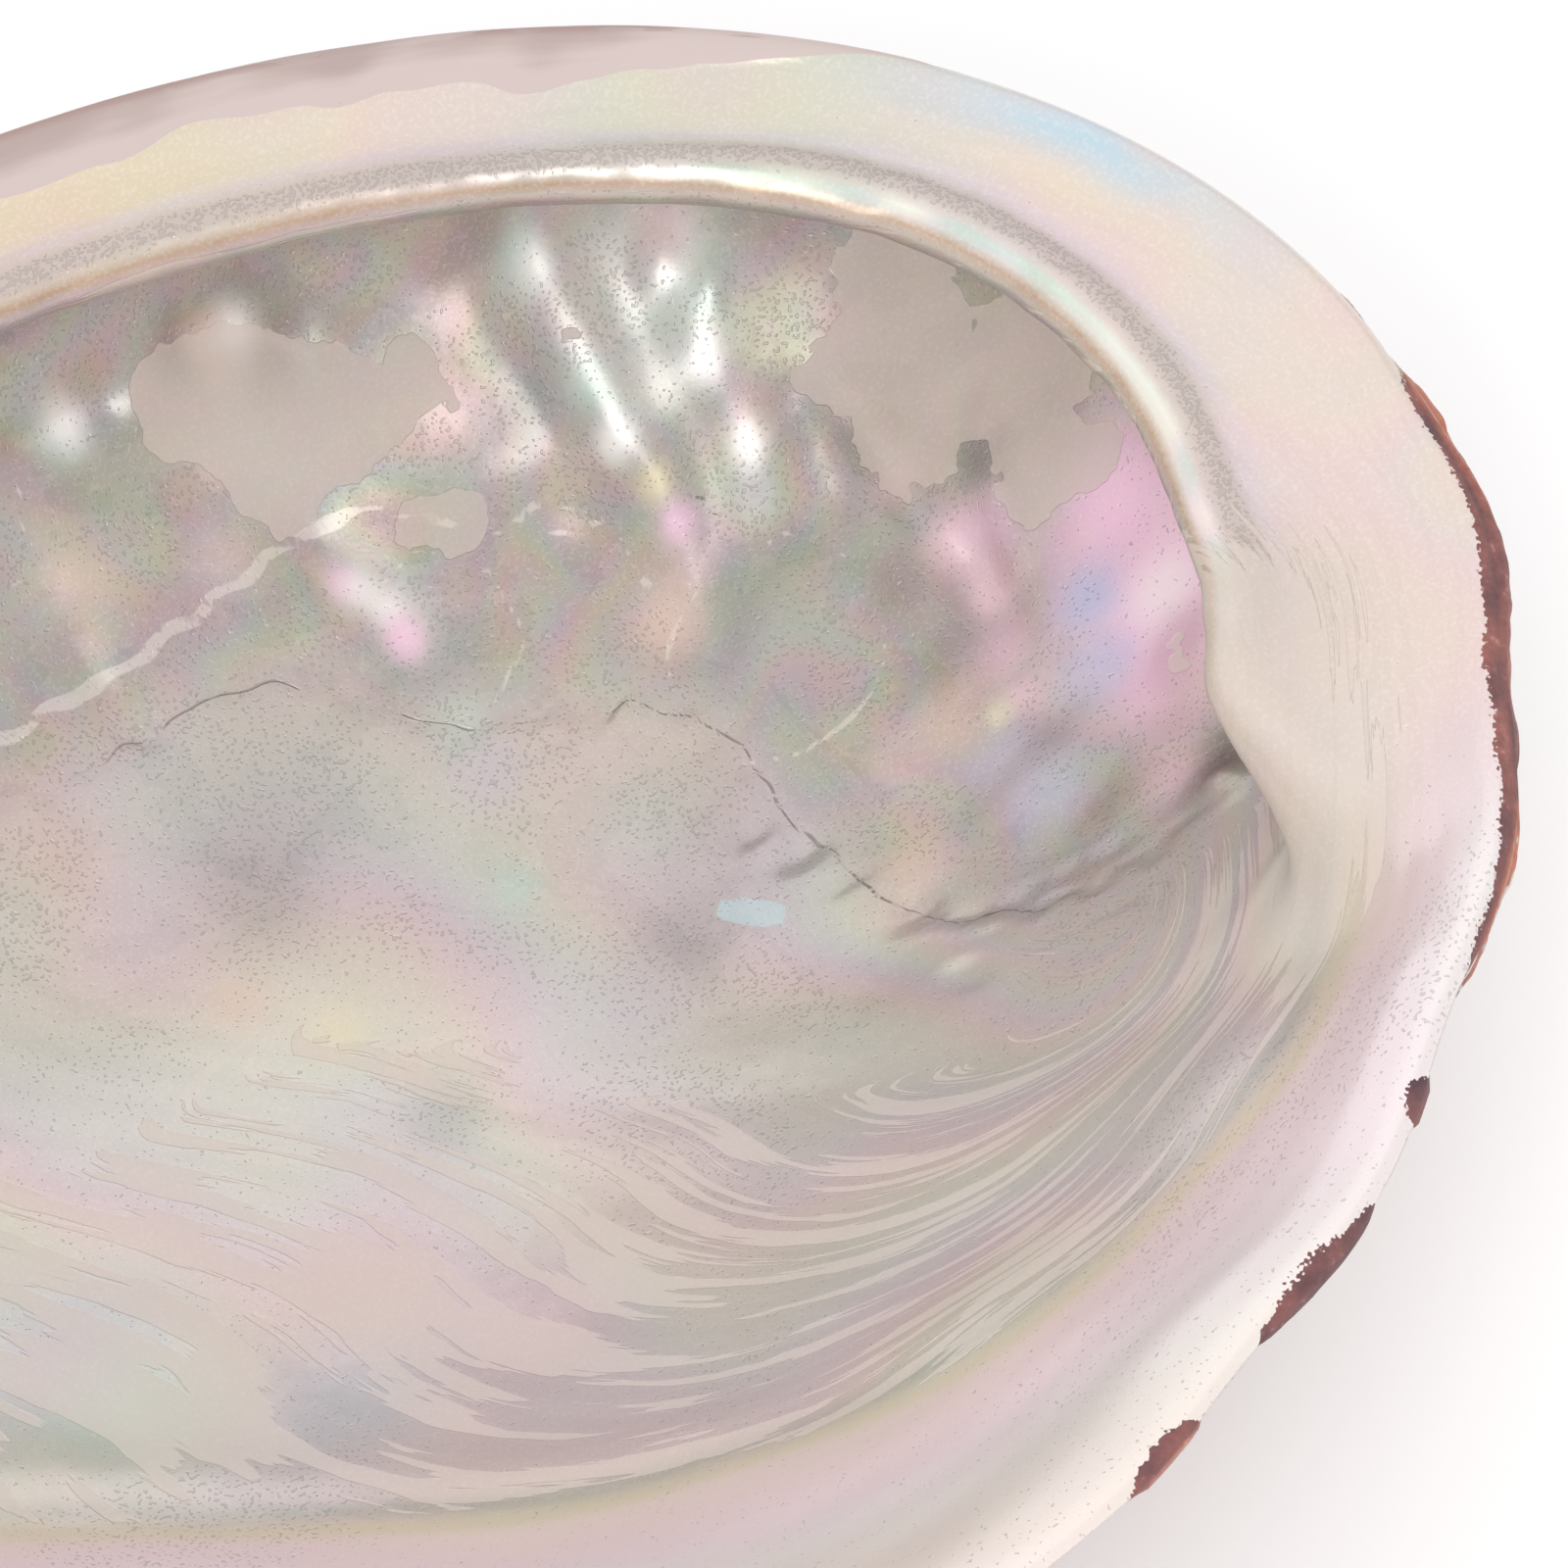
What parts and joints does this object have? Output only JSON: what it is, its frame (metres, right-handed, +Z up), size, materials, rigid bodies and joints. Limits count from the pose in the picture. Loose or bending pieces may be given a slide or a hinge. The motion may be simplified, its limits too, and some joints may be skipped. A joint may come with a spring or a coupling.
{
  "type": "abalone shell",
  "caption": "Ear-shaped sea shell lying on its back, an oval bowl of mother-of-pearl with a folded inner shelf and a row of small breathing holes.",
  "frame": {"origin": "middle of the bounding box in plan, on the surface the shell rests on", "axes": "+X towards the spire end, +Y towards the shelf side, -Y towards the outer lip, +Z up out of the open bowl"},
  "size_m": [0.1812, 0.1392, 0.0476],
  "materials": {
    "shell": "glossy mother-of-pearl inside, rough red-brown crust outside"
  },
  "bodies": {
    "root": {"shell": "shell"}
  },
  "joints": []
}
